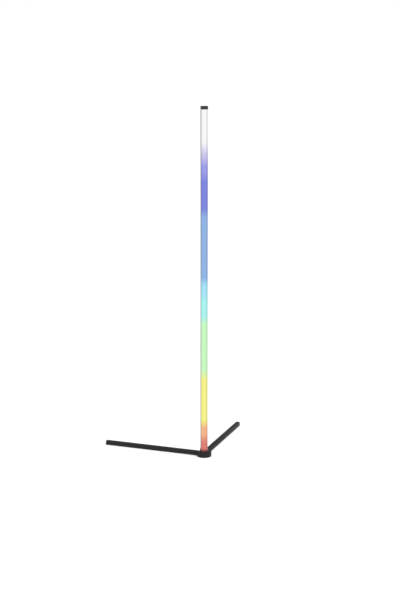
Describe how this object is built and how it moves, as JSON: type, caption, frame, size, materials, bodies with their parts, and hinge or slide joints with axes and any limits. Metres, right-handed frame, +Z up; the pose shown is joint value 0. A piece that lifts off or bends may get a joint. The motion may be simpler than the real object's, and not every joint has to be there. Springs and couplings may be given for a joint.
{
  "type": "corner floor lamp",
  "caption": "Slim upright light bar with an opal front on a small round hub, with square legs that lie on the floor at a right angle and fold together.",
  "frame": {"origin": "centre of the hub's underside, on the floor", "axes": "+Z up, +X along the right leg, +Y along the left leg; the light faces between -X and -Y, into the room's corner"},
  "size_m": [0.459, 0.459, 1.4],
  "materials": {
    "black_coated_metal": "fine satin black powder coat",
    "black_anodised_aluminium": "black anodised extrusion",
    "opal_plastic": "milky opal, lit from inside",
    "black_plastic": "fine grained moulding",
    "foot_rubber": "soft black rubber sheet",
    "plated_steel": "zinc plated",
    "black_screws": "black oxide screws",
    "cast_aluminium": "plain die casting",
    "inlet_pin_brass": "bright contact pin",
    "green_board": "coated circuit board",
    "chip_plastic": "moulded chip bodies",
    "terminal_plastic": "white terminal block",
    "lead_sleeve": "soft lead insulation",
    "white_strip": "white flexible circuit",
    "led_lens": "square light packages"
  },
  "bodies": {
    "base": {"board_screws": "plated_steel", "channel_lower": "black_anodised_aluminium", "channel_middle": "black_anodised_aluminium", "channel_upper": "black_anodised_aluminium", "controller_board": "green_board", "controller_chips": "chip_plastic", "controller_terminal": "terminal_plastic", "dc_jack_body": "black_plastic", "dc_jack_pin": "inlet_pin_brass", "diffuser": "opal_plastic", "foot_plug_screws": "black_screws", "hub_base_plate": "plated_steel", "hub_base_screws": "black_screws", "hub_foot_pad": "foot_rubber", "hub_housing": "black_coated_metal", "inlet_leads": "lead_sleeve", "joiner_lower": "plated_steel", "joiner_screws": "black_screws", "joiner_upper": "plated_steel", "led_driver_chips": "chip_plastic", "led_packages": "led_lens", "led_strip": "white_strip", "pivot_screws": "plated_steel", "pivot_washers": "plated_steel", "pole_bolt": "plated_steel", "pole_bolt_washer": "plated_steel", "pole_collar": "black_plastic", "pole_foot_plug": "cast_aluminium", "strip_leads": "lead_sleeve", "top_cap": "black_plastic"},
    "right_leg": {"right_leg_end_cap": "black_plastic", "right_leg_foot_pad": "foot_rubber", "right_leg_insert": "cast_aluminium", "right_leg_insert_screws": "black_screws", "right_leg_tube": "black_coated_metal"},
    "left_leg": {"left_leg_end_cap": "black_plastic", "left_leg_foot_pad": "foot_rubber", "left_leg_insert": "cast_aluminium", "left_leg_insert_screws": "black_screws", "left_leg_tube": "black_coated_metal"}
  },
  "joints": [
    {"name": "right_leg_fold", "type": "hinge", "parent": "base", "child": "right_leg", "pos_m": [0.01301, 0, 0.0053], "axis": [0, 0, 1], "range_deg": [0, 45]},
    {"name": "left_leg_fold", "type": "hinge", "parent": "base", "child": "left_leg", "pos_m": [0, 0.01301, 0.0053], "axis": [0, 0, 1], "range_deg": [-45, 0]}
  ]
}
